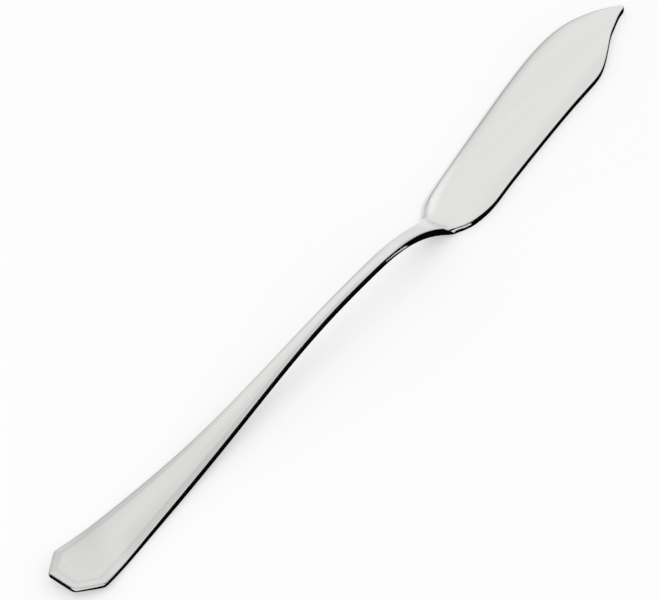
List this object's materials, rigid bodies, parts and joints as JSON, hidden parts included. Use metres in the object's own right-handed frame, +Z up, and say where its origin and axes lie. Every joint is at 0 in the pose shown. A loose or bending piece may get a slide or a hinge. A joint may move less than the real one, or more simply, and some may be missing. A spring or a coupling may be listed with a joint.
{
  "type": "fish knife",
  "caption": "Slender fish knife in one piece of polished steel: flared handle with a chamfered end and bevelled rim, arched neck, slanted shoulder and broad flat blade with a notched tip.",
  "frame": {"origin": "middle of the knife's box in plan, on the table plane that the underside of the blade lies on", "axes": "+X from the handle end to the tip, +Y to the side of the cutting edge, +Z up from the table"},
  "size_m": [0.2, 0.0238, 0.0106],
  "materials": {
    "polished_steel": "fine polish with a faint lengthwise grain"
  },
  "bodies": {
    "root": {"fish_knife": "polished_steel"}
  },
  "joints": []
}
